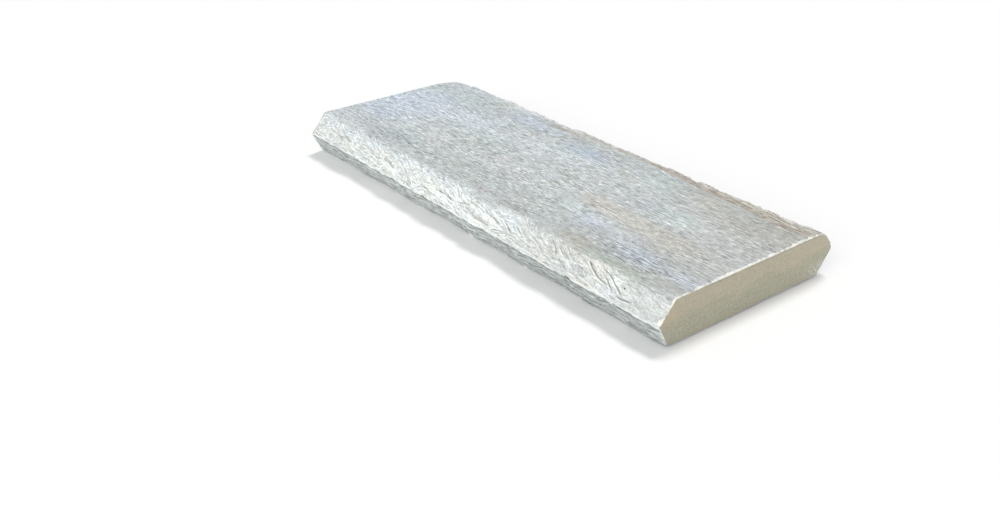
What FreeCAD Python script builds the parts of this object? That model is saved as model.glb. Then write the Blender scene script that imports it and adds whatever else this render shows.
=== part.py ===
import FreeCAD, Part
import os
import random
from collections import namedtuple

# A hand-dressed sandstone wall coping, worked from one slab.
# Its two ends are sawn square. Both long edges are pitched: blows from above take a row of shell-shaped
# flakes off each edge, which leaves a broad sloping face over a sharp arris, and a row of shallower
# flakes from below undercuts that arris so that rain drips clear of the wall.
# Millimetres, +Z up. The origin is the centre of the bed face, and +X runs along the wall.

# Overall size
LENGTH = 600.0                     # between the sawn ends
WIDTH = 250.0                      # over the two arrises
THICKNESS = 50.0                   # from the bed face to the riven top

# Section of the edge on the -Y side, before the flakes are struck off
FRONT_ARRIS_HEIGHT = 27.5          # arris above the bed face
FRONT_TOP_INSET = 16.5             # edge of the top in from the arris
FRONT_BED_INSET = 15.5             # edge of the bed face in from the arris
FRONT_NOSE = 0.8                   # swell of the pitched face past a straight slope

# Section of the edge on the +Y side, which is blunter
BACK_ARRIS_HEIGHT = 26.0
BACK_TOP_INSET = 19.0
BACK_BED_INSET = 20.0
BACK_NOSE = 2.2

# Flakes of the pitched faces, struck from above
FRONT_FLAKE_LENGTH = 84.0          # mean length along the edge
FRONT_FLAKE_DEPTH = 4.0            # depth of a shell of the mean length
BACK_FLAKE_LENGTH = 74.0
BACK_FLAKE_DEPTH = 2.4

# Flakes of the undercuts, struck from below
UNDERCUT_FLAKE_LENGTH = 88.0
UNDERCUT_FLAKE_DEPTH = 1.8

# Handwork
STRAY = 0.35                       # share by which a flake's length strays from the mean
RIDGE_WIDTH = 3.0                  # stone left standing between two flakes
FRONT_BLOW = 1.15                  # where a shell is deepest: 0 at the arris, 1 at the slope's other edge
BACK_BLOW = 0.7
UNDERCUT_BLOW = 0.8
FRONT_SEED = 11
BACK_SEED = 23
FRONT_UNDERCUT_SEED = 37
BACK_UNDERCUT_SEED = 41

# A slope of the cross-section, from the arris to the edge of the top or of the bed face
Slope = namedtuple("Slope", "arris edge swell")


def section_point(side, inset, height):
    """A point of the cross-section, measured in from the arris. side is the sign of Y."""
    return FreeCAD.Vector(0, side * (WIDTH / 2 - inset), height)


def outward(slope):
    """The unit normal of a slope, pointing out of the stone."""
    along = slope.edge - slope.arris
    normal = FreeCAD.Vector(0, along.z, -along.y)
    normal.normalize()
    return normal if normal.y * slope.arris.y > 0 else normal * -1


def slope_point(slope, share):
    """The point of a slope at a share of the way up or down from its arris."""
    bulge = 4 * slope.swell * share * (1 - share)
    return slope.arris + (slope.edge - slope.arris) * share + outward(slope) * bulge


def profile_of(slope):
    """The line of a slope in the cross-section: an arc where it swells."""
    if slope.swell:
        return Part.Arc(slope.arris, slope_point(slope, 0.5), slope.edge).toShape()
    return Part.makeLine(slope.arris, slope.edge)


def rough_slab(front_pitch, front_undercut, back_pitch, back_undercut):
    """The sawn length of slab with its two edges roughed out to a constant section."""
    slopes = [profile_of(slope) for slope in (front_pitch, front_undercut, back_pitch, back_undercut)]
    top = Part.makeLine(front_pitch.edge, back_pitch.edge)
    bed = Part.makeLine(front_undercut.edge, back_undercut.edge)
    section = Part.Face(Part.Wire(Part.__sortEdges__(slopes + [top, bed])))
    section.translate(FreeCAD.Vector(-LENGTH / 2, 0, 0))
    return section.extrude(FreeCAD.Vector(LENGTH, 0, 0))


def flake(deepest, normal, length, depth):
    """The shell that one blow takes off: a ball that dips under a slope by depth, over a length along X."""
    half = length / 2
    radius = (half ** 2 + depth ** 2) / (2 * depth)
    return Part.makeSphere(radius, deepest + normal * (radius - depth))


def row_of_flakes(slope, blow, mean_length, mean_depth, seed):
    """The flakes struck along one slope. The row runs past both ends, which are sawn after the dressing."""
    handwork = random.Random(seed)
    normal = outward(slope)
    deepest = slope_point(slope, blow)
    flakes = []
    x = -LENGTH / 2 - mean_length * handwork.random()
    while x < LENGTH / 2:
        length = mean_length * (1 + STRAY * handwork.uniform(-1, 1))
        depth = mean_depth * length / mean_length
        middle = FreeCAD.Vector(x + length / 2, 0, 0)
        flakes.append(flake(deepest + middle, normal, length - RIDGE_WIDTH, depth))
        x += length
    return flakes


def coping_stone():
    """The slab with every flake of its two long edges struck off."""
    front_arris = section_point(-1, 0, FRONT_ARRIS_HEIGHT)
    front_pitch = Slope(front_arris, section_point(-1, FRONT_TOP_INSET, THICKNESS), FRONT_NOSE)
    front_undercut = Slope(front_arris, section_point(-1, FRONT_BED_INSET, 0), 0)
    back_arris = section_point(1, 0, BACK_ARRIS_HEIGHT)
    back_pitch = Slope(back_arris, section_point(1, BACK_TOP_INSET, THICKNESS), BACK_NOSE)
    back_undercut = Slope(back_arris, section_point(1, BACK_BED_INSET, 0), 0)

    undercut_flakes = (UNDERCUT_BLOW, UNDERCUT_FLAKE_LENGTH, UNDERCUT_FLAKE_DEPTH)
    rows = (
        row_of_flakes(front_pitch, FRONT_BLOW, FRONT_FLAKE_LENGTH, FRONT_FLAKE_DEPTH, FRONT_SEED),
        row_of_flakes(back_pitch, BACK_BLOW, BACK_FLAKE_LENGTH, BACK_FLAKE_DEPTH, BACK_SEED),
        row_of_flakes(front_undercut, *undercut_flakes, FRONT_UNDERCUT_SEED),
        row_of_flakes(back_undercut, *undercut_flakes, BACK_UNDERCUT_SEED),
    )
    stone = rough_slab(front_pitch, front_undercut, back_pitch, back_undercut)
    for row in rows:
        for shell in row:
            stone = stone.cut(shell)
    return stone.Solids[0]


stone = coping_stone()
os.makedirs("parts", exist_ok=True)
stone.exportStep("parts/coping_stone.step")
print("valid", stone.isValid(), "faces", len(stone.Faces), "litres", round(stone.Volume / 1e6, 4))
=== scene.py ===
import math

import bmesh
import bpy
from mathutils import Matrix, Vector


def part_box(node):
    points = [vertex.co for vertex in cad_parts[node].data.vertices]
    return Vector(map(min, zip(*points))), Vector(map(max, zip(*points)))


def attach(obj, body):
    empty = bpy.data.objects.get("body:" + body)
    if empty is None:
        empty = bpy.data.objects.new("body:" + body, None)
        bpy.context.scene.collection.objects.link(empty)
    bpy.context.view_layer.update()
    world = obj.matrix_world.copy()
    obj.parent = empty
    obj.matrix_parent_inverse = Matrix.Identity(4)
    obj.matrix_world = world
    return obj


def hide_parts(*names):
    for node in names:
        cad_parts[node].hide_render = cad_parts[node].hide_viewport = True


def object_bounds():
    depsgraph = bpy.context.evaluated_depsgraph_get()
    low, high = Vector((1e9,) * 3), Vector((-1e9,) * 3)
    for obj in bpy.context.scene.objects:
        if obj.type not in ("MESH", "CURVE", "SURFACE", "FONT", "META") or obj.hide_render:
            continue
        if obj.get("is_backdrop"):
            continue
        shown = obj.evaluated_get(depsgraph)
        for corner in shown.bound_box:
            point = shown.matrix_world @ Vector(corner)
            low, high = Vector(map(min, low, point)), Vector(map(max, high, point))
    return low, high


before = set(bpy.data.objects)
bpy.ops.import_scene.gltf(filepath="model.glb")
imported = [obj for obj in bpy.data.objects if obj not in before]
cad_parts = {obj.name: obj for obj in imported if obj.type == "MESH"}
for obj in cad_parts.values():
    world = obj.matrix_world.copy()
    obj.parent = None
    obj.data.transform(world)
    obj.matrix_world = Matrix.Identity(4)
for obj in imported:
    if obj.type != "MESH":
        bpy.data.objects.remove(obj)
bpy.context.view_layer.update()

# The coping stone
# One slab of natural sandstone, riven along its bedding for the top and sawn square at both ends.
# The long edges are struck with a pitching tool from above and below. It lies loose, or beds on mortar.

# The blank, roughed out to the section of the coping
# The sides by the sign of Y, and millimetres in from the arrises and up from the bed face
FRONT, BACK = -1, 1
ARRIS_HEIGHT = 27.0
TOP_INSET = {FRONT: 17.5, BACK: 20.0}
BED_INSET = {FRONT: 15.5, BACK: 20.0}
# Metres within which a vertex counts as lying on a face or a line
TOUCH = 0.0001
# Cells along the stone and round its section. Subdivide takes 100 cuts at most, so some are cut twice.
CELLS_ALONG = (100, 4)
FACET_CELLS = {
    "top": (66, 2), "bed": (16,),
    "front_pitch": (36,), "back_pitch": (20,),
    "front_undercut": (22,), "back_undercut": (10,),
}


def pick(kind, test):
    """Selects the vertices, edges or faces of the open mesh that pass a test, and nothing else."""
    bpy.ops.mesh.select_mode(type=kind)
    bpy.ops.mesh.select_all(action="DESELECT")
    mesh = bmesh.from_edit_mesh(bpy.context.object.data)
    for element in {"VERT": mesh.verts, "EDGE": mesh.edges, "FACE": mesh.faces}[kind]:
        if test(element):
            element.select_set(True)
    mesh.select_flush_mode()
    bmesh.update_edit_mesh(bpy.context.object.data)


def facet_of(y, z):
    """The facet of the blank that the middle of a face or of an edge of its section lies on."""
    if z > size.z - TOUCH:
        return "top"
    if z < TOUCH:
        return "bed"
    side = "front" if y < 0 else "back"
    return side + ("_pitch" if z * 1000 > ARRIS_HEIGHT else "_undercut")


bpy.ops.object.select_all(action="DESELECT")
low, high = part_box("coping_stone")
size = high - low
bpy.ops.mesh.primitive_cube_add(size=1, location=(low + high) / 2, scale=size)
coping = bpy.context.object
coping.name = "dressed_coping"
coping.data.name = "dressed_coping"
bpy.ops.object.transform_apply(location=True, rotation=True, scale=True)

bpy.ops.object.mode_set(mode="EDIT")
bpy.ops.mesh.select_all(action="SELECT")
bpy.ops.mesh.bisect(plane_co=(0, 0, ARRIS_HEIGHT / 1000), plane_no=(0, 0, 1))
pick("FACE", lambda face: abs(face.normal.x) > 0.9)
bpy.ops.mesh.delete(type="FACE")
for side in (FRONT, BACK):
    pick("VERT", lambda vert: vert.co.y * side > 0 and vert.co.z > size.z - TOUCH)
    bpy.ops.transform.translate(value=(0, -side * TOP_INSET[side] / 1000, 0))
    pick("VERT", lambda vert: vert.co.y * side > 0 and vert.co.z < TOUCH)
    bpy.ops.transform.translate(value=(0, -side * BED_INSET[side] / 1000, 0))


def runs_along(edge):
    """Whether an edge runs along the stone and not round its section."""
    return abs(edge.verts[0].co.x - edge.verts[1].co.x) > TOUCH


def middle_facet(edge):
    """The facet of the blank that the middle of an edge lies on."""
    middle = (edge.verts[0].co + edge.verts[1].co) / 2
    return facet_of(middle.y, middle.z)


for facet, rounds in FACET_CELLS.items():
    for cells in rounds:
        pick("EDGE", lambda edge: not runs_along(edge) and middle_facet(edge) == facet)
        bpy.ops.mesh.subdivide(number_cuts=cells - 1)
for cells in CELLS_ALONG:
    pick("EDGE", runs_along)
    bpy.ops.mesh.subdivide(number_cuts=cells - 1)
for facet in FACET_CELLS:
    pick("FACE", lambda face: facet_of(face.calc_center_median().y, face.calc_center_median().z) == facet)
    coping.vertex_groups.new(name=facet)
    coping.vertex_groups.active_index = len(coping.vertex_groups) - 1
    bpy.ops.object.vertex_group_assign()
bpy.ops.object.mode_set(mode="OBJECT")

# The flakes struck off the long edges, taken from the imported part
shell = coping.modifiers.new("flakes", "SHRINKWRAP")
shell.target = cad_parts["coping_stone"]
shell.wrap_method = "NEAREST_SURFACEPOINT"
bpy.ops.object.modifier_apply(modifier="flakes")

# The rims of the top and the arrises, worn round by the blows. Metres, from the middle line and the bed face.
RIM_Y = 0.106
RIM_REACH = 0.015
RIM_LOWEST = 0.034
RIM_ROUNDS = 5
EDGE_Y = 0.104
EDGE_REACH = 0.022
EDGE_ROUNDS = 2
# How far the flakes may draw a vertex of a sawn end along the stone
END_STRAY = 0.0007
bpy.ops.object.mode_set(mode="EDIT")
pick("VERT", lambda vert: vert.co.z > RIM_LOWEST and abs(abs(vert.co.y) - RIM_Y) < RIM_REACH)
bpy.ops.mesh.vertices_smooth(factor=0.5, repeat=RIM_ROUNDS, xaxis=False)
pick("VERT", lambda vert: abs(vert.co.z - ARRIS_HEIGHT / 1000) < EDGE_REACH and abs(vert.co.y) > EDGE_Y)
bpy.ops.mesh.vertices_smooth(factor=0.5, repeat=EDGE_ROUNDS, xaxis=False)
for end in (low.x, high.x):
    pick("VERT", lambda vert: abs(vert.co.x - end) < END_STRAY)
    bpy.ops.transform.resize(value=(0, 1, 1), center_override=(end, 0, 0))
bpy.ops.object.mode_set(mode="OBJECT")


def feed(tree, socket, value):
    """Links a node's output to a socket, or sets the socket to a plain value."""
    if isinstance(value, bpy.types.NodeSocket):
        tree.links.new(value, socket)
    else:
        socket.default_value = value


def calc(tree, operation, *values):
    """The result of one math node."""
    node = tree.nodes.new("ShaderNodeMath")
    node.operation = operation
    for socket, value in zip(node.inputs, values):
        feed(tree, socket, value)
    return node.outputs["Value"]


def times(tree, first, *others):
    """The product of several values."""
    result = first
    for value in others:
        result = calc(tree, "MULTIPLY", result, value)
    return result


def total(tree, *terms):
    """The sum of several values, each with a weight."""
    result = 0.0
    for value, weight in terms:
        result = calc(tree, "MULTIPLY_ADD", value, weight, result)
    return result


def ease(tree, value, start, end):
    """0 up to start and 1 from end, smooth between. End may be below start."""
    node = tree.nodes.new("ShaderNodeMapRange")
    node.interpolation_type = "SMOOTHSTEP"
    # A smooth step never leaves 0 to 1, so it needs no clamp
    node.clamp = False
    feed(tree, node.inputs["Value"], value)
    node.inputs["From Min"].default_value = start
    node.inputs["From Max"].default_value = end
    return node.outputs["Result"]


def combine(tree, x, y, z=0.0):
    """A vector made of three values."""
    node = tree.nodes.new("ShaderNodeCombineXYZ")
    for socket, value in zip(node.inputs, (x, y, z)):
        feed(tree, socket, value)
    return node.outputs["Vector"]


def separate(tree, vector):
    """The three values of a vector."""
    node = tree.nodes.new("ShaderNodeSeparateXYZ")
    feed(tree, node.inputs["Vector"], vector)
    return node.outputs["X"], node.outputs["Y"], node.outputs["Z"]


def turned(tree, vector, degrees):
    """Coordinates along and across a direction that is turned left of +X by some degrees."""
    node = tree.nodes.new("ShaderNodeVectorRotate")
    node.rotation_type = "Z_AXIS"
    feed(tree, node.inputs["Vector"], vector)
    node.inputs["Angle"].default_value = math.radians(-degrees)
    return node.outputs["Vector"]


def spread(tree, vector, lengths, start):
    """Coordinates for a pattern whose features have these lengths, in mm. Geometry has no Mapping node."""
    scale = [1 / length for length in lengths]
    shift = (start, start * 0.7, start * 1.3)
    if tree.type == "SHADER":
        node = tree.nodes.new("ShaderNodeMapping")
        feed(tree, node.inputs["Vector"], vector)
        node.inputs["Scale"].default_value = scale
        node.inputs["Location"].default_value = shift
    else:
        node = tree.nodes.new("ShaderNodeVectorMath")
        node.operation = "MULTIPLY_ADD"
        feed(tree, node.inputs[0], vector)
        node.inputs[1].default_value = scale
        node.inputs[2].default_value = shift
    return node.outputs["Vector"]


def noise(tree, vector, lengths, start, detail, roughness=0.5):
    """A noise from 0 to 1, mostly near 0.5."""
    node = tree.nodes.new("ShaderNodeTexNoise")
    feed(tree, node.inputs["Vector"], spread(tree, vector, lengths, start))
    node.inputs["Scale"].default_value = 1.0
    node.inputs["Detail"].default_value = detail
    node.inputs["Roughness"].default_value = roughness
    return node.outputs["Fac"]


def patches(tree, vector, lengths, start, detail, clear, full):
    """Soft patches: 0 where a noise is up to clear, and 1 from full on."""
    return ease(tree, noise(tree, vector, lengths, start, detail), clear, full)


def stripe(tree, value, middle, edge, core):
    """A soft stripe: 1 where a value is within core of a middle one, falling to 0 at edge."""
    return ease(tree, calc(tree, "ABSOLUTE", calc(tree, "SUBTRACT", value, middle)), edge, core)


def ledges(tree, across, spacing, waver, reach):
    """Ledges one above the other, as a share from 0 at the foot of one to 1 just under the next."""
    phase = calc(tree, "MULTIPLY_ADD", waver, reach / spacing, calc(tree, "DIVIDE", across, spacing))
    return calc(tree, "FRACT", phase)


def millimetres(tree, position):
    """A position in metres as one in mm."""
    node = tree.nodes.new("ShaderNodeVectorMath")
    node.operation = "SCALE"
    feed(tree, node.inputs[0], position)
    node.inputs["Scale"].default_value = 1000.0
    return node.outputs["Vector"]


# The grain of the bedding runs along the stone and wavers a little
GRAIN_TURN = 3.0


def along_grain(tree, place):
    """Coordinates along and across the grain of the bedding."""
    along, across, depth = separate(tree, turned(tree, place, GRAIN_TURN))
    long_wave = noise(tree, place, (130.0, 90.0, 80.0), 5.2, 1.0)
    short_wave = noise(tree, place, (26.0, 18.0, 40.0), 9.4, 1.0)
    return combine(tree, along, total(tree, (across, 1.0), (long_wave, 16.0), (short_wave, 4.0)), depth)


# The slope of a pitched face, and how far the patterns of the two sides are shifted apart, in mm
HALF_WIDTH = 125.0
PITCH_RUN, PITCH_RISE = 0.6, 0.8
SIDE_SHIFT = 700.0
FRONT_SHIFT = FRONT * SIDE_SHIFT


def up_pitch(tree, place):
    """Coordinates along the stone and up a pitched face from its arris. The two sides lie far apart."""
    x, y, z = separate(tree, place)
    inset = calc(tree, "SUBTRACT", HALF_WIDTH, calc(tree, "ABSOLUTE", y))
    up = total(tree, (inset, PITCH_RUN), (calc(tree, "SUBTRACT", z, ARRIS_HEIGHT), PITCH_RISE))
    return combine(tree, calc(tree, "MULTIPLY_ADD", calc(tree, "SIGN", y), SIDE_SHIFT, x), up)


# The hackles of a struck face: long ones nearly along the stone, and steeper ones in the upper part
HACKLES = (
    {"degrees": -5.0, "spacing": 4.8, "depth": 0.8, "start": 1.0,
     "waver": (50.0, 14.0, 1.0), "patch": (24.0, 6.0, 1.0)},
    {"degrees": -25.0, "spacing": 6.5, "depth": 0.9, "start": 6.0,
     "waver": (34.0, 14.0, 1.0), "patch": (22.0, 9.0, 1.0)},
)
HACKLE_WAVER = 13.0
HACKLE_DARKNESS = 0.55

# Deeper cracks of the front face: where each one starts and ends, along the stone and up from the arris,
# then the bow at its middle and its depth. All in mm.
CRACKS = (
    ((193, 28), (227, 13), -4.5, 1.0), ((211, 26), (248, 9), 1.5, 1.0), ((217, 19), (235, 9), 1.0, 0.9),
    ((241, 8), (263, 9), -1.1, 1.0), ((153, 23), (165, 18), -0.7, 0.9), ((140, 26), (155, 13), 1.2, 0.8),
    ((149, 9), (171, 11), 0.9, 0.6), ((180, 7), (200, 10), -1.3, 0.6), ((119, 19), (141, 9), 0.2, 0.6),
    ((-47, 13), (-13, 11), 2.3, 0.85), ((-68, 11), (-40, 7), 0.0, 0.8), ((11, 13), (56, 7), -1.7, 0.8),
    ((44, 18), (65, 13), 1.1, 0.8), ((67, 20), (88, 11), 0.3, 0.8), ((57, 5), (100, 8), 2.9, 0.8),
    ((-7, 12), (18, 17), 1.2, 0.7), ((57, 4), (81, 9), -0.8, 0.7), ((-31, 3), (-8, 2), 0.6, 0.7),
    ((-88, 22), (-66, 15), 0.8, 0.6), ((20, 24), (38, 21), 0.6, 0.6), ((84, 24), (104, 15), -1.0, 0.7),
    ((-151, 16), (-124, 12), 1.3, 0.7), ((-185, 20), (-173, 16), 0.0, 0.6), ((-120, 9), (-98, 6), 0.8, 0.6),
)
LIP_RISE = 1.7


def crack(tree, along, up, start, end, bow):
    """A bowed crack: 1 on its line, falling to 0 at both sides and past both tips, and the lip above it."""
    half = math.dist(start, end) / 2
    right, rise = (end[0] - start[0]) / half / 2, (end[1] - start[1]) / half / 2
    middle_along, middle_up = (start[0] + end[0]) / 2 + FRONT_SHIFT, (start[1] + end[1]) / 2
    run = total(tree, (along, right), (up, rise), (1.0, -middle_along * right - middle_up * rise))
    across = total(tree, (along, -rise), (up, right), (1.0, middle_along * rise - middle_up * right))
    sag = times(tree, run, run, bow / half ** 2)
    aside = total(tree, (across, 1.0), (sag, 1.0), (1.0, -bow))
    tips = ease(tree, calc(tree, "ABSOLUTE", run), half + 2.0, half - 5.0)
    line = ease(tree, calc(tree, "ABSOLUTE", aside), 0.8, 0.1)
    lip = stripe(tree, aside, -LIP_RISE, 1.0, 0.2)
    return times(tree, line, tips), times(tree, lip, tips)


def hackles(tree, place):
    """The rise of the hackles and cracks, in mm, and the painted shade under and the painted highlight on the
    lip of each one.
    """
    pitch = up_pitch(tree, place)
    along, up, _ = separate(tree, pitch)
    struck_hard = ease(tree, separate(tree, place)[0], 292.0, 236.0)
    border = noise(tree, pitch, (60.0, 18.0, 1.0), 3.0, 2.0)
    slanting = ease(tree, total(tree, (border, 40.0), (up, 1.0)), 32.0, 38.0)
    shares = (calc(tree, "SUBTRACT", 1.0, slanting), slanting)
    rise, dark, bright = 0.0, 0.0, 0.0
    for hackle, share in zip(HACKLES, shares):
        run = turned(tree, pitch, hackle["degrees"])
        waver = noise(tree, run, hackle["waver"], hackle["start"], 2.5, 0.6)
        step = ledges(tree, separate(tree, run)[1], hackle["spacing"], waver, HACKLE_WAVER)
        patch = patches(tree, run, hackle["patch"], hackle["start"] + 3.0, 2.0, 0.38, 0.54)
        patch = times(tree, patch, share, struck_hard)
        fall = calc(tree, "SUBTRACT", 1.0, step)
        rise = calc(tree, "MULTIPLY_ADD", times(tree, fall, patch), hackle["depth"], rise)
        line = times(tree, ease(tree, step, 0.78, 0.94), patch)
        dark = calc(tree, "MAXIMUM", dark, times(tree, line, HACKLE_DARKNESS))
        bright = calc(tree, "MAXIMUM", bright, times(tree, ease(tree, step, 0.2, 0.0), patch))
    waver = noise(tree, pitch, (20.0, 10.0, 1.0), 7.0, 3.0, 0.6)
    wavering = total(tree, (waver, 3.0), (up, 1.0), (1.0, -1.5))
    for start, end, bow, depth in CRACKS:
        line, lip = crack(tree, along, wavering, start, end, bow)
        line = times(tree, line, depth)
        rise = calc(tree, "SUBTRACT", rise, line)
        dark = calc(tree, "MAXIMUM", dark, line)
        bright = calc(tree, "MAXIMUM", bright, times(tree, lip, depth))
    return rise, dark, bright


def struck_facets(tree, pitch):
    """Small facets of the struck faces, longer than they are high."""
    return noise(tree, turned(tree, pitch, -8.0), (13.0, 3.2, 1.0), 22.0, 1.0)


# The bedding planes of the undercuts, in mm
LEDGE_HEIGHT = 5.0
LEDGE_WAVER = 15.0


def bedding_ledges(tree, place):
    """The bedding planes that show as ledges on the undercuts."""
    waver = noise(tree, place, (38.0, 30.0, 9.0), 3.0, 3.0, 0.6)
    return ledges(tree, separate(tree, place)[2], LEDGE_HEIGHT, waver, LEDGE_WAVER)


def back_rim(tree, place):
    """How far a point lies towards the stepped back rim, in mm, and whether that part of it is stepped."""
    x, y, _ = separate(tree, place)
    wander = noise(tree, place, (60.0, 30.0, 40.0), 2.0, 3.0)
    widening = calc(tree, "ADD", ease(tree, x, 60.0, 300.0), ease(tree, x, 0.0, -110.0))
    return total(tree, (y, 1.0), (wander, 9.0), (widening, 13.0), (1.0, -3.0)), ease(tree, x, -130.0, -40.0)


# The relief of the riven and struck faces
# Each pattern is lowered by some mm, so that it is cut into its face and not laid on it.
RIVEN_DROP, STRUCK_DROP, SPLIT_DROP = 1.05, 3.35, 2.2
# What else is lost, and how far the nose swells out, in mm
NICK_DEPTH, BITE_DEPTH = 1.6, 2.4
CRUMB_DEPTH = 2.2
CORNER_DEPTH = 4.2
SAWN_RIM_DEPTH = 1.6
SPALL_DEPTH = 2.0
BED_DEPTH = 0.6
NOSE_SWELL = 2.2

relief = bpy.data.node_groups.new("stone_relief", "GeometryNodeTree")
relief.interface.new_socket("Geometry", in_out="INPUT", socket_type="NodeSocketGeometry")
relief.interface.new_socket("Geometry", in_out="OUTPUT", socket_type="NodeSocketGeometry")
blank_in = relief.nodes.new("NodeGroupInput").outputs["Geometry"]
place = millimetres(relief, relief.nodes.new("GeometryNodeInputPosition").outputs["Position"])
x, y, z = separate(relief, place)
grain = along_grain(relief, place)
pitch = up_pitch(relief, place)


def share_of(tree, *facets, soften=2):
    """How much a point belongs to some facets of the blank, softened over a few cells."""
    values = []
    for facet in facets:
        node = tree.nodes.new("GeometryNodeInputNamedAttribute")
        node.data_type = "FLOAT"
        node.inputs["Name"].default_value = facet
        values.append((node.outputs["Attribute"], 1.0))
    blur = tree.nodes.new("GeometryNodeBlurAttribute")
    feed(tree, blur.inputs["Value"], calc(tree, "MINIMUM", total(tree, *values), 1.0))
    blur.inputs["Iterations"].default_value = soften
    return blur.outputs["Value"]


pitched = share_of(relief, "front_pitch", "back_pitch", soften=6)
undercut = share_of(relief, "front_undercut", "back_undercut", soften=1)
level = share_of(relief, "top", soften=3)
bedded = share_of(relief, "bed", soften=2)

# Ripples of the riven top, which steps down in ledges at the back
broad = noise(relief, grain, (210.0, 70.0, 40.0), 1.0, 1.0)
swell = noise(relief, grain, (60.0, 18.0, 40.0), 4.0, 1.0)
ripple = noise(relief, grain, (34.0, 4.5, 40.0), 9.0, 0.5)
rim, stepped = back_rim(relief, place)
steps = total(relief, (ease(relief, rim, 99.0, 100.5), 0.7), (ease(relief, rim, 105.5, 107.0), 1.0))
calm = ease(relief, x, 40.0, 220.0)
waves = total(relief, (swell, 1.1), (ripple, 0.7), (1.0, -0.9))
ripples = times(relief, waves, total(relief, (calm, -0.65), (1.0, 1.0)))
down = times(relief, stepped, steps)
riven = total(relief, (broad, 1.0), (ripples, 1.0), (1.0, -RIVEN_DROP), (down, -1.0))

# Hackles and dimples of the struck faces
hackle_rise = hackles(relief, place)[0]
dimple = noise(relief, pitch, (26.0, 13.0, 1.0), 2.0, 2.0)
chipped = noise(relief, place, (9.0, 9.0, 7.0), 5.0, 2.0)
small_facets = struck_facets(relief, pitch)
struck = total(
    relief, (hackle_rise, 1.0), (dimple, 2.3), (chipped, 1.0), (small_facets, 1.6), (1.0, -STRUCK_DROP))

# Ledges of the bedding across the undercuts, and hollows of the bed face
rough = noise(relief, place, (26.0, 12.0, 5.0), 8.0, 2.0)
split = total(relief, (bedding_ledges(relief, place), 1.2), (rough, 2.4), (1.0, -SPLIT_DROP))
hollow = patches(relief, grain, (30.0, 10.0, 40.0), 3.0, 2.0, 0.25, 0.8)

# The far back corner, knocked off, and the rims of the sawn ends, chipped by the blade and spalled below
knocked = times(
    relief, ease(relief, x, -252.0, -302.0), ease(relief, y, 66.0, 112.0), ease(relief, z, 30.0, 48.0))
from_middle = calc(relief, "ABSOLUTE", x)
chips = noise(relief, place, (7.0, 7.0, 7.0), 4.0, 2.0)
sawn_rim = times(relief, ease(relief, from_middle, 298.9, 299.9), chips)
spalls = patches(relief, place, (16.0, 16.0, 90.0), 12.0, 3.0, 0.42, 0.66)
spalled = times(relief, ease(relief, from_middle, 290.0, 300.0), spalls, bedded)

# The saw cut runs through sound stone, so the relief is shallower there
sound = total(relief, (ease(relief, from_middle, 300.0, 266.0), 0.75), (1.0, 0.25))
worked = total(
    relief,
    (times(relief, level, riven), 1.0),
    (times(relief, pitched, struck), 1.0),
    (times(relief, undercut, split), 1.0),
)

# Small chips out of the arrises
nicks = patches(relief, place, (11.0, 11.0, 11.0), 6.0, 2.0, 0.40, 0.62)
bites = patches(relief, place, (34.0, 34.0, 34.0), 2.0, 1.0, 0.38, 0.64)
on_arris = ease(relief, calc(relief, "ABSOLUTE", separate(relief, pitch)[1]), 9.0, 0.0)
on_arris = times(relief, on_arris, ease(relief, z, 6.0, 14.0))
lost = total(relief, (nicks, NICK_DEPTH), (bites, BITE_DEPTH))
nicked = times(relief, lost, on_arris, sound)

# The back edge swells out in a rounder nose at the near end
nose = times(
    relief, ease(relief, x, 190.0, 285.0), ease(relief, y, 92.0, 104.0),
    ease(relief, z, 24.0, 36.0), ease(relief, z, 50.0, 42.0))

# The back rim of the top, crumbled
crumbs = patches(relief, place, (10.0, 8.0, 8.0), 15.0, 3.0, 0.42, 0.64)
crumbs = times(relief, crumbs, patches(relief, place, (46.0, 46.0, 46.0), 19.0, 1.0, 0.3, 0.6))
crumbled = times(relief, ease(relief, y, 96.0, 105.0), ease(relief, z, 34.0, 42.0), crumbs, sound)

height = total(
    relief,
    (nicked, -1.0),
    (nose, NOSE_SWELL),
    (crumbled, -CRUMB_DEPTH),
    (times(relief, worked, sound), 1.0),
    (knocked, -CORNER_DEPTH),
    (sawn_rim, -SAWN_RIM_DEPTH),
    (spalled, -SPALL_DEPTH),
    (times(relief, bedded, hollow), -BED_DEPTH),
)

# Out from a core line along each long edge, so that the sawn ends stay plane
CORE_Y = 95.0
core = calc(relief, "MINIMUM", calc(relief, "MAXIMUM", y, -CORE_Y), CORE_Y)
outward = relief.nodes.new("ShaderNodeVectorMath")
outward.operation = "NORMALIZE"
feed(relief, outward.inputs[0], combine(
    relief, 0.0, calc(relief, "SUBTRACT", y, core), calc(relief, "SUBTRACT", z, ARRIS_HEIGHT)))
offset = relief.nodes.new("ShaderNodeVectorMath")
offset.operation = "SCALE"
feed(relief, offset.inputs[0], outward.outputs["Vector"])
feed(relief, offset.inputs["Scale"], times(relief, height, 0.001))
moved = relief.nodes.new("GeometryNodeSetPosition")
feed(relief, moved.inputs["Offset"], offset.outputs["Vector"])


def keep(tree, geometry, name, value):
    """Keeps a value on the mesh for the materials."""
    node = tree.nodes.new("GeometryNodeStoreNamedAttribute")
    node.data_type = "FLOAT"
    node.domain = "POINT"
    feed(tree, node.inputs["Geometry"], geometry)
    node.inputs["Name"].default_value = name
    feed(tree, node.inputs["Value"], value)
    return node.outputs["Geometry"]


feed(relief, moved.inputs["Geometry"], keep(relief, blank_in, "laid", bedded))
feed(relief, relief.nodes.new("NodeGroupOutput").inputs["Geometry"], moved.outputs["Geometry"])
dressing = coping.modifiers.new("relief", "NODES")
dressing.node_group = relief
bpy.ops.object.modifier_apply(modifier="relief")

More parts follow.
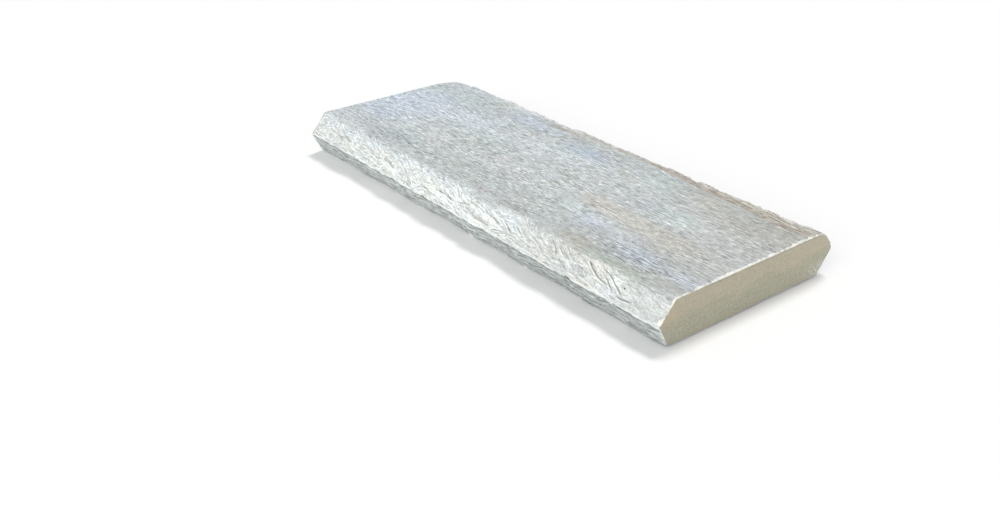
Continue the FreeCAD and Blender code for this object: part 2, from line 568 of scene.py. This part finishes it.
# The sawn ends, each with a narrow rim that the blade bruised. Metres and degrees.
BRUISED_RIM = 0.0008
SMOOTH_ANGLE = 48
bpy.ops.object.mode_set(mode="EDIT")
for end in (low.x, high.x):
    pick("EDGE", lambda edge: edge.is_boundary and abs(edge.verts[0].co.x - end) < TOUCH)
    bpy.ops.mesh.edge_face_add()
bpy.ops.mesh.select_all(action="SELECT")
bpy.ops.mesh.normals_make_consistent(inside=False)
pick("FACE", lambda face: len(face.verts) > 4)
bpy.ops.mesh.inset(thickness=BRUISED_RIM)
bpy.ops.object.mode_set(mode="OBJECT")
bpy.ops.object.shade_smooth_by_angle(angle=math.radians(SMOOTH_ANGLE))
bpy.ops.object.mode_set(mode="EDIT")
pick("FACE", lambda face: all(abs(vert.co.x) > high.x - TOUCH for vert in face.verts))
bpy.ops.mesh.faces_shade_flat()
bpy.ops.object.mode_set(mode="OBJECT")

# The colours of the stone
GREY = (0.592, 0.634, 0.64)
ASH = (0.49, 0.502, 0.487)
SKY = (0.585, 0.655, 0.755)
STEEL = (0.50, 0.575, 0.67)
LAVENDER = (0.61, 0.665, 0.75)
BUFF = (0.58, 0.563, 0.515)
WARM = (0.50, 0.485, 0.435)
MINT = (0.53, 0.595, 0.58)
MAUVE = (0.56, 0.55, 0.58)
STRAW = (0.575, 0.57, 0.515)
SAGE = (0.45, 0.495, 0.45)
PEARL = (0.68, 0.735, 0.78)
JADE = (0.60, 0.675, 0.665)
LILAC = (0.52, 0.55, 0.59)
RUSSET = (0.605, 0.57, 0.525)
DUSK = (0.48, 0.54, 0.58)
WHITE = (0.76, 0.795, 0.775)
CREAM = (0.765, 0.765, 0.715)
HIGHLIGHT_AND_BRUISE = (0.92, 0.95, 0.93)
SHADE = (0.23, 0.235, 0.20)
SHADED_SLATE = (0.45, 0.485, 0.475)
DEEP = (0.17, 0.19, 0.185)
FROST_AND_HIGHLIGHT = (0.68, 0.72, 0.71)
ICE = (0.66, 0.72, 0.76)
RIM = (0.96, 0.96, 0.90)
BROWN = (0.19, 0.15, 0.105)
ROSE = (0.475, 0.435, 0.38)
OAT = (0.55, 0.53, 0.475)
TAN = (0.47, 0.428, 0.325)
OLIVE = (0.405, 0.39, 0.297)
RUST = (0.52, 0.42, 0.28)


def mix(tree, share, first, second, strength=1.0):
    """A second colour laid over the first one by a share, and at most by a strength."""
    if strength < 1:
        share = times(tree, share, strength)
    node = tree.nodes.new("ShaderNodeMix")
    node.data_type = "RGBA"
    feed(tree, node.inputs["Factor"], share)
    for socket, value in ((node.inputs[6], first), (node.inputs[7], second)):
        feed(tree, socket, value if isinstance(value, bpy.types.NodeSocket) else (*value, 1.0))
    return node.outputs[2]


def kept_value(tree, name):
    """A value that was kept on the mesh."""
    node = tree.nodes.new("ShaderNodeAttribute")
    node.attribute_name = name
    return node.outputs["Fac"]


def shaded(tree, colour, factor):
    """A colour made darker or lighter by a factor."""
    node = tree.nodes.new("ShaderNodeHueSaturation")
    feed(tree, node.inputs["Color"], colour if isinstance(colour, bpy.types.NodeSocket) else (*colour, 1.0))
    feed(tree, node.inputs["Value"], factor)
    return node.outputs["Color"]


def tint(tree, colour, value, low_factor, high_factor):
    """A colour made darker or lighter by a noise, which is mostly between 0.25 and 0.75."""
    factor = tree.nodes.new("ShaderNodeMapRange")
    factor.clamp = False
    feed(tree, factor.inputs["Value"], value)
    factor.inputs["From Min"].default_value = 0.25
    factor.inputs["From Max"].default_value = 0.75
    factor.inputs["To Min"].default_value = low_factor
    factor.inputs["To Max"].default_value = high_factor
    return shaded(tree, colour, factor.outputs["Result"])


def near(tree, place, centre, reach):
    """1 at a spot of the stone, falling softly to 0 at its reach along each axis."""
    node = tree.nodes.new("ShaderNodeVectorMath")
    node.operation = "SUBTRACT"
    feed(tree, node.inputs[0], place)
    node.inputs[1].default_value = centre
    scaled = tree.nodes.new("ShaderNodeVectorMath")
    scaled.operation = "DIVIDE"
    feed(tree, scaled.inputs[0], node.outputs["Vector"])
    scaled.inputs[1].default_value = reach
    length = tree.nodes.new("ShaderNodeVectorMath")
    length.operation = "LENGTH"
    feed(tree, length.inputs[0], scaled.outputs["Vector"])
    return ease(tree, length.outputs["Value"], 1.0, 0.0)


# The grains of sand, which show on the dressed and on the sawn faces
sand_grain = bpy.data.node_groups.new("sand_grain", "ShaderNodeTree")
sand_grain.interface.new_socket("Place", in_out="INPUT", socket_type="NodeSocketVector")
sand_grain.interface.new_socket("Stone", in_out="INPUT", socket_type="NodeSocketColor")
sand_grain.interface.new_socket("Contrast", in_out="INPUT", socket_type="NodeSocketFloat")
sand_grain.interface.new_socket("Colour", in_out="OUTPUT", socket_type="NodeSocketColor")
sand_grain.interface.new_socket("Height", in_out="OUTPUT", socket_type="NodeSocketFloat")
grain_in = sand_grain.nodes.new("NodeGroupInput")
grain_out = sand_grain.nodes.new("NodeGroupOutput")
grains = noise(sand_grain, grain_in.outputs["Place"], (0.9, 0.9, 0.9), 1.0, 1.0)
centred = calc(sand_grain, "MULTIPLY_ADD", grains, 2.0, -1.0)
factor = calc(sand_grain, "MULTIPLY_ADD", centred, grain_in.outputs["Contrast"], 1.0)
feed(sand_grain, grain_out.inputs["Colour"], shaded(sand_grain, grain_in.outputs["Stone"], factor))
feed(sand_grain, grain_out.inputs["Height"], grains)


def sand(tree, place, colour, contrast):
    """A colour broken up by the grains of sand, and the height of the grains."""
    node = tree.nodes.new("ShaderNodeGroup")
    node.node_tree = sand_grain
    feed(tree, node.inputs["Place"], place)
    feed(tree, node.inputs["Stone"], colour)
    feed(tree, node.inputs["Contrast"], contrast)
    return node.outputs["Colour"], node.outputs["Height"]


# Stains of the riven top: colour, place along and across, reach along and across in mm, strength
STAINS = (
    (SKY, (-270, 10), (120, 130), 0.8),
    (SKY, (-150, 30), (120, 60), 0.4),
    (LAVENDER, (-248, 6), (60, 50), 0.5),
    (PEARL, (-170, 18), (90, 26), 0.8),
    (SKY, (-105, 80), (75, 30), 0.8),
    (JADE, (-208, 68), (64, 32), 0.7),
    (JADE, (-288, 62), (44, 28), 0.6),
    (STEEL, (-262, -44), (64, 14), 0.6),
    (PEARL, (-262, -84), (64, 34), 0.5),
    (DUSK, (-172, -78), (60, 34), 0.5),
    (MINT, (-105, -8), (55, 24), 0.6),
    (PEARL, (-25, 28), (90, 20), 0.45),
    (STEEL, (4, 62), (62, 24), 0.95),
    (JADE, (115, 70), (56, 30), 0.8),
    (STRAW, (184, 72), (50, 26), 0.7),
    (WARM, (232, 52), (64, 38), 0.5),
    (WARM, (292, 70), (80, 56), 0.6),
    (LILAC, (150, 18), (46, 26), 0.7),
    (JADE, (188, 15), (46, 30), 0.9),
    (RUSSET, (116, -18), (42, 24), 0.85),
    (BUFF, (168, -22), (70, 26), 0.75),
    (BUFF, (222, -26), (60, 26), 0.8),
    (JADE, (102, -46), (30, 18), 0.8),
    (LAVENDER, (136, -54), (50, 22), 0.65),
    (PEARL, (188, -60), (40, 24), 0.6),
    (SKY, (226, -72), (46, 24), 0.7),
    (LAVENDER, (284, -73), (44, 16), 0.65),
    (ASH, (62, -97), (44, 20), 0.7),
    (WARM, (160, -96), (50, 18), 0.9),
    (SAGE, (222, -101), (80, 18), 0.9),
)
TOP_HEIGHT = 50.0
STAIN_DEPTH = 60.0
# Veils of the riven top: colour, start of the pattern
VEILS = ((MINT, 3.0), (MAUVE, 8.0), (STRAW, 14.0))

dressed = bpy.data.materials.new("dressed_sandstone")
dressed.use_nodes = True
tree = dressed.node_tree
surface = tree.nodes["Principled BSDF"]
place = millimetres(tree, tree.nodes.new("ShaderNodeTexCoord").outputs["Object"])
x, y, z = separate(tree, place)
grain = along_grain(tree, place)
pitch = up_pitch(tree, place)
up = separate(tree, pitch)[1]

# Riven faces: grey with soft veils and stains, and crossed by pale and dark fibres along the grain
band = noise(tree, grain, (150.0, 40.0, 60.0), 2.0, 2.0)
riven_colour = mix(tree, ease(tree, x, 20.0, 280.0), GREY, ASH, 0.8)
riven_colour = tint(tree, riven_colour, band, 0.95, 1.05)
veiled = total(tree, (ease(tree, x, 40.0, 220.0), -0.27), (1.0, 0.45))
for veil, start in VEILS:
    patch = patches(tree, grain, (30.0, 15.0, 60.0), start, 2.0, 0.5, 0.68)
    riven_colour = mix(tree, times(tree, patch, veiled), riven_colour, veil)
blotch = noise(tree, grain, (26.0, 11.0, 60.0), 11.0, 3.0)
for stain, (along, across), (length, width), strength in STAINS:
    spot = near(tree, place, (along, across, TOP_HEIGHT), (length, width, STAIN_DEPTH))
    share = times(tree, spot, ease(tree, blotch, 0.12, 0.5))
    riven_colour = mix(tree, share, riven_colour, stain, strength)
strand = noise(tree, grain, (28.0, 2.4, 20.0), 15.0, 1.0, 0.6)
riven_colour = tint(tree, riven_colour, strand, 0.95, 1.05)
fleck = ease(tree, noise(tree, grain, (7.0, 1.2, 20.0), 5.0, 1.0, 0.6), 0.52, 0.76)
furrow = noise(tree, grain, (9.0, 1.05, 20.0), 17.0, 1.0, 0.6)
crisp = total(
    tree, (noise(tree, grain, (45.0, 20.0, 60.0), 21.0, 1.0), 1.0),
    (ease(tree, x, 200.0, 0.0), 0.25), (1.0, 0.40),
    (near(tree, place, (215.0, -74.0, TOP_HEIGHT), (90.0, 30.0, STAIN_DEPTH)), 0.7))
crisp = times(tree, crisp, total(tree, (ease(tree, up, 27.0, 44.0), 0.3), (1.0, 0.7)))
fibre = times(tree, total(tree, (fleck, 0.9), (furrow, 1.9), (1.0, -1.025)), crisp)
riven_colour = shaded(tree, riven_colour, calc(tree, "ADD", fibre, 1.0))
# Painted shade: a grey band on the top just above the struck front face, where its rim rolls away from the
# light
painted_roll_shade = times(tree, ease(tree, up, 30.0, 40.0), ease(tree, up, 70.0, 46.0))
riven_colour = mix(tree, painted_roll_shade, riven_colour, DEEP, 0.10)

# The back rim: rosy and oat-coloured ledges with brown and cream lines, which fade out at the far end
rim, stepped = back_rim(tree, place)
broken = noise(tree, grain, (9.0, 2.0, 2.0), 7.0, 2.0, 0.6)
frayed = calc(tree, "MULTIPLY_ADD", broken, 5.0, rim)
rim_colour = mix(tree, ease(tree, frayed, 106.5, 108.5), ROSE, OAT)
rim_colour = tint(tree, rim_colour, broken, 0.62, 1.42)
layers = calc(tree, "FRACT", calc(tree, "DIVIDE", frayed, 4.4))
in_places = patches(tree, place, (26.0, 5.0, 8.0), 3.0, 2.0, 0.42, 0.54)
lines = times(tree, stripe(tree, layers, 0.25, 0.26, 0.1), in_places)
rim_colour = mix(tree, lines, rim_colour, BROWN, 0.75)
pale_lines = times(tree, stripe(tree, layers, 0.62, 0.16, 0.06), ease(tree, broken, 0.42, 0.58))
rim_colour = mix(tree, pale_lines, rim_colour, CREAM, 0.55)
on_rim = times(tree, stepped, ease(tree, frayed, 99.0, 100.6))
bed_colour = riven_colour
faint = times(tree, stripe(tree, frayed, 119.0, 4.0, 1.0), ease(tree, x, -30.0, -110.0), in_places)
riven_colour = mix(tree, faint, riven_colour, DEEP, 0.4)
riven_colour = mix(tree, on_rim, riven_colour, rim_colour)

# Struck faces: bruised almost white, with cream and icy patches, and with painted shade along the hackles and
# cracks and a painted highlight on the lip over each one
_, dark, bright = hackles(tree, place)
creamy = times(tree, ease(tree, x, 130.0, 220.0), ease(tree, x, 285.0, 255.0))
creamy = times(tree, creamy, patches(tree, pitch, (30.0, 14.0, 1.0), 5.0, 2.0, 0.4, 0.6))
struck_colour = mix(tree, creamy, WHITE, CREAM)
tone = noise(tree, pitch, (24.0, 12.0, 1.0), 31.0, 2.0)
struck_colour = mix(tree, ease(tree, tone, 0.52, 0.66), struck_colour, CREAM, 0.6)
struck_colour = mix(tree, ease(tree, tone, 0.48, 0.34), struck_colour, ICE, 0.45)
# Broad plates, painted a little lighter and darker as light and shade on them
plate = noise(tree, turned(tree, pitch, -8.0), (26.0, 8.0, 1.0), 14.0, 2.0)
struck_colour = tint(tree, struck_colour, plate, 0.95, 1.06)
dull = times(tree, ease(tree, x, 105.0, 130.0), ease(tree, x, 200.0, 180.0))
fading = total(
    tree, (ease(tree, x, 110.0, 40.0), 0.13), (ease(tree, x, -120.0, -230.0), -0.15),
    (dull, -0.085), (ease(tree, x, 236.0, 272.0), -0.10), (1.0, 0.95))
struck_colour = shaded(tree, struck_colour, fading)
even_colour = struck_colour
# The small facets, also painted lighter and darker as light and shade over their relief
struck_colour = tint(tree, struck_colour, struck_facets(tree, pitch), 0.85, 1.15)
bend = noise(tree, pitch, (44.0, 20.0, 1.0), 27.0, 1.0)
bent = combine(tree, separate(tree, pitch)[0], total(tree, (up, 1.0), (bend, 16.0)))
flat_strokes = noise(tree, turned(tree, bent, -4.0), (8.0, 1.2, 1.0), 4.0, 1.0, 0.6)
steep_strokes = noise(tree, turned(tree, bent, -20.0), (8.0, 1.2, 1.0), 9.0, 1.0, 0.6)
steeper = patches(tree, pitch, (22.0, 14.0, 1.0), 6.0, 1.0, 0.44, 0.58)
steeper = times(tree, steeper, ease(tree, x, -215.0, -165.0))
strokes = total(
    tree, (times(tree, flat_strokes, calc(tree, "SUBTRACT", 1.0, steeper)), 1.0),
    (times(tree, steep_strokes, steeper), 1.0))
farther = ease(tree, x, 140.0, 40.0)
struck_colour = mix(tree, times(tree, ease(tree, up, 12.0, 28.0), farther), struck_colour, ICE, 0.5)
contrast = total(tree, (farther, 0.5), (1.0, 1.15))
streaked = times(tree, calc(tree, "SUBTRACT", strokes, 0.5), contrast)
struck_colour = shaded(tree, struck_colour, calc(tree, "ADD", streaked, 1.0))
stipple = noise(tree, place, (1.9, 1.5, 1.5), 3.0, 1.0)
struck_colour = tint(tree, struck_colour, stipple, 0.78, 1.22)
struck_colour = mix(tree, ease(tree, x, 244.0, 268.0), struck_colour, even_colour, 0.25)
# Painted highlight on the lips of the hackles and cracks, and painted shade in the lines under them
struck_colour = mix(tree, bright, struck_colour, HIGHLIGHT_AND_BRUISE, 0.7)
struck_colour = mix(tree, dark, struck_colour, SHADE, 0.66)
back_pitch = times(tree, ease(tree, y, 60.0, 90.0), stepped)
struck_colour = mix(tree, back_pitch, struck_colour, rim_colour, 0.6)
# Painted shade: a dark spot for a small pit, which the relief does not have
pock = near(tree, pitch, (246.5 + FRONT_SHIFT, 17.6, 0.0), (2.4, 1.7, 1.0))
struck_colour = mix(tree, ease(tree, pock, 0.2, 0.7), struck_colour, DEEP)

# Undercuts: blue-grey, darkened as painted shade of faces that look down, finely streaked along the bedding,
# with frosty flakelets, and with painted shade and highlights along the ledges
ledge = bedding_ledges(tree, place)
streak = noise(tree, place, (14.0, 14.0, 1.3), 3.0, 1.0, 0.6)
# The blue-grey is partly painted shade: it is kept darker because the undercut looks down
split_colour = tint(tree, SHADED_SLATE, streak, 0.32, 1.66)
split_colour = shaded(tree, split_colour, total(tree, (ease(tree, x, 150.0, 40.0), 0.12), (1.0, 1.0)))
flakelets = patches(tree, place, (7.0, 7.0, 1.1), 12.0, 1.0, 0.56, 0.7)
split_colour = mix(tree, flakelets, split_colour, FROST_AND_HIGHLIGHT, 0.45)
# Painted shade just under each bedding ledge, and a painted highlight at its foot
split_colour = mix(tree, ease(tree, ledge, 0.78, 0.95), split_colour, DEEP, 0.7)
split_colour = mix(tree, ease(tree, ledge, 0.2, 0.0), split_colour, FROST_AND_HIGHLIGHT, 0.65)

# The bruised white runs out over the rim of the top in lobes and feathers
lobe = noise(tree, place, (75.0, 60.0, 60.0), 8.0, 1.0)
feather = noise(tree, turned(tree, pitch, -36.0), (20.0, 4.0, 1.0), 6.0, 3.0, 0.6)
stray = total(tree, (lobe, 30.0), (feather, 22.0), (strokes, -9.0), (1.0, -21.5))
stray = times(tree, stray, total(tree, (ease(tree, x, 110.0, 180.0), -0.65), (1.0, 1.0)))
edge = total(tree, (up, 1.0), (stray, 1.0), (ease(tree, x, 60.0, 140.0), 4.0), (1.0, -31.0))
edge = times(tree, edge, total(tree, (ease(tree, x, 110.0, 180.0), 1.2), (1.0, 1.0)))
colour = mix(tree, ease(tree, edge, 3.0, -3.0), riven_colour, struck_colour)

# The undercut begins at a ragged line, with a bright arris over it and a line of painted shade under it
ragged = total(tree, (up, 1.0), (noise(tree, place, (13.0, 13.0, 5.0), 2.0, 2.0), 5.0), (1.0, -2.5))
colour = mix(tree, ease(tree, ragged, 0.4, -0.4), colour, split_colour)
arris = times(tree, ease(tree, ragged, 0.0, 0.6), ease(tree, ragged, 2.4, 1.2))
colour = mix(tree, arris, colour, HIGHLIGHT_AND_BRUISE, 0.6)
# Painted shade: a dark line just under the arris, where the undercut lies in shadow
painted_shade_under_arris = times(tree, ease(tree, ragged, 0.0, -0.5), ease(tree, ragged, -2.0, -0.9))
colour = mix(tree, painted_shade_under_arris, colour, DEEP, 0.45)

# The bed face is riven like the top
colour = mix(tree, ease(tree, kept_value(tree, "laid"), 0.2, 0.6), colour, bed_colour)

# The rim of the near saw cut, bruised white, and dark specks along the far one
chips = noise(tree, place, (7.0, 7.0, 7.0), 4.0, 2.0)
bruise = calc(tree, "MULTIPLY_ADD", chips, 8.0, x)
bruise = times(
    tree, ease(tree, bruise, 301.9, 303.5), ease(tree, z, 2.0, 22.0), ease(tree, y, 112.0, 96.0),
    patches(tree, place, (20.0, 20.0, 20.0), 8.0, 2.0, 0.32, 0.44))
colour = mix(tree, bruise, colour, RIM, 0.9)
speck = times(
    tree, ease(tree, x, -296.0, -299.0), ease(tree, z, 36.0, 46.0),
    patches(tree, place, (14.0, 14.0, 14.0), 23.0, 2.0, 0.50, 0.58))
colour = mix(tree, speck, colour, DEEP, 0.6)
colour, grit = sand(tree, place, colour, contrast=0.18)
feed(tree, surface.inputs["Base Color"], colour)
surface.inputs["Roughness"].default_value = 0.85
surface.inputs["Specular IOR Level"].default_value = 0.3

bump = tree.nodes.new("ShaderNodeBump")
bump.inputs["Strength"].default_value = 0.9
bump.inputs["Distance"].default_value = 0.001
fine_relief = total(tree, (fibre, 0.6), (grit, 0.4), (strokes, 0.6), (stipple, 0.5), (dark, -0.7))
feed(tree, bump.inputs["Height"], fine_relief)
feed(tree, surface.inputs["Normal"], bump.outputs["Normal"])

# Sawn faces: smooth olive sand with a warmer layer above, rustier at the front corner, with a line of painted
# shade under the rim of the top and a torn lower back corner
sawn = bpy.data.materials.new("sawn_sandstone")
sawn.use_nodes = True
tree = sawn.node_tree
surface = tree.nodes["Principled BSDF"]
place = millimetres(tree, tree.nodes.new("ShaderNodeTexCoord").outputs["Object"])
_, y, z = separate(tree, place)
cloud = noise(tree, place, (60.0, 60.0, 14.0), 4.0, 2.0)
layer = calc(tree, "MULTIPLY_ADD", cloud, 26.0, z)
upper = ease(tree, layer, 34.0, 46.0)
sawn_colour = mix(tree, upper, OLIVE, TAN)
corner = near(tree, place, (300.0, -112.0, 34.0), (60.0, 26.0, 18.0))
sawn_colour = mix(tree, corner, sawn_colour, RUST, 0.5)
# Painted shade: a dim band just under the rim of the top
painted_rim_shade = times(tree, ease(tree, z, 44.5, 48.5), patches(tree, place, (24.0, 24.0, 24.0), 13.0, 2.0, 0.4, 0.56))
sawn_colour = mix(tree, painted_rim_shade, sawn_colour, SHADE, 0.35)
torn = near(tree, place, (300.0, 106.0, 8.0), (60.0, 24.0, 17.0))
torn = times(tree, torn, patches(tree, place, (2.6, 2.6, 2.0), 7.0, 2.0, 0.46, 0.62))
sawn_colour = mix(tree, torn, sawn_colour, FROST_AND_HIGHLIGHT, 0.7)
lamina = noise(tree, place, (50.0, 50.0, 2.2), 9.0, 2.0)
sawn_colour = tint(tree, sawn_colour, lamina, 0.95, 1.05)
sawn_colour = shaded(tree, sawn_colour, total(tree, (ease(tree, y, -20.0, 110.0), 0.06), (1.0, 1.0)))
sawn_colour, grit = sand(tree, place, sawn_colour, total(tree, (upper, -0.22), (1.0, 0.65)))
feed(tree, surface.inputs["Base Color"], sawn_colour)
surface.inputs["Roughness"].default_value = 0.7
bump = tree.nodes.new("ShaderNodeBump")
bump.inputs["Strength"].default_value = 0.3
bump.inputs["Distance"].default_value = 0.0005
feed(tree, bump.inputs["Height"], grit)
feed(tree, surface.inputs["Normal"], bump.outputs["Normal"])

coping.data.materials.append(dressed)
coping.data.materials.append(sawn)
bpy.ops.object.mode_set(mode="EDIT")
pick("FACE", lambda face: len(face.verts) > 4)
coping.active_material_index = 1
bpy.ops.object.material_slot_assign()
bpy.ops.object.mode_set(mode="OBJECT")

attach(coping, "root")
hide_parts("coping_stone")

# The stage
# A plain white floor under a soft overcast of studio light.
FLOOR_SIZE = 30
FLOOR_WHITE = (0.93, 0.93, 0.93, 1.0)
OVERCAST = 0.48
bpy.ops.object.select_all(action="DESELECT")
bpy.ops.mesh.primitive_plane_add(size=FLOOR_SIZE, location=(0, 0, low.z))
floor = bpy.context.object
floor.name = "floor"
floor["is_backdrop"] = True
paint = bpy.data.materials.new("floor_white")
paint.use_nodes = True
paint.node_tree.nodes["Principled BSDF"].inputs["Base Color"].default_value = FLOOR_WHITE
paint.node_tree.nodes["Principled BSDF"].inputs["Roughness"].default_value = 0.9
floor.data.materials.append(paint)

world = bpy.data.worlds.new("studio")
bpy.context.scene.world = world
world.use_nodes = True
sky = world.node_tree.nodes["Background"]
sky.inputs["Color"].default_value = (1.0, 1.0, 1.0, 1.0)
sky.inputs["Strength"].default_value = OVERCAST


def soft_lamp(name, toward, strength, spread_angle):
    """A lamp so far off that it lights the whole floor alike, and as wide as a softbox."""
    bpy.ops.object.light_add(type="SUN", location=toward)
    lamp = bpy.context.object
    lamp.name = name
    lamp.data.energy = strength
    lamp.data.angle = math.radians(spread_angle)
    lamp.rotation_euler = lamp.location.to_track_quat("Z", "Y").to_euler()


soft_lamp("key", toward=(-0.25, 0.55, 1.3), strength=1.4, spread_angle=18)
soft_lamp("front", toward=(0.45, -1.2, 0.62), strength=1.55, spread_angle=60)

# The camera stands in front of the near end and looks down along the stone
CAMERA_PLACE = (0.8579, -0.7449, 0.5300)
CAMERA_AZIMUTH = 51.414
CAMERA_PITCH = 28.046
CAMERA_LENS = 39.6
CAMERA_SENSOR = 36.0
bpy.ops.object.camera_add(location=CAMERA_PLACE)
camera = bpy.context.object
camera.rotation_euler = (math.radians(90 - CAMERA_PITCH), 0, math.radians(CAMERA_AZIMUTH))
camera.data.lens = CAMERA_LENS
camera.data.sensor_width = CAMERA_SENSOR
bpy.context.scene.camera = camera
bpy.context.scene.view_settings.view_transform = "Standard"

low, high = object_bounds()
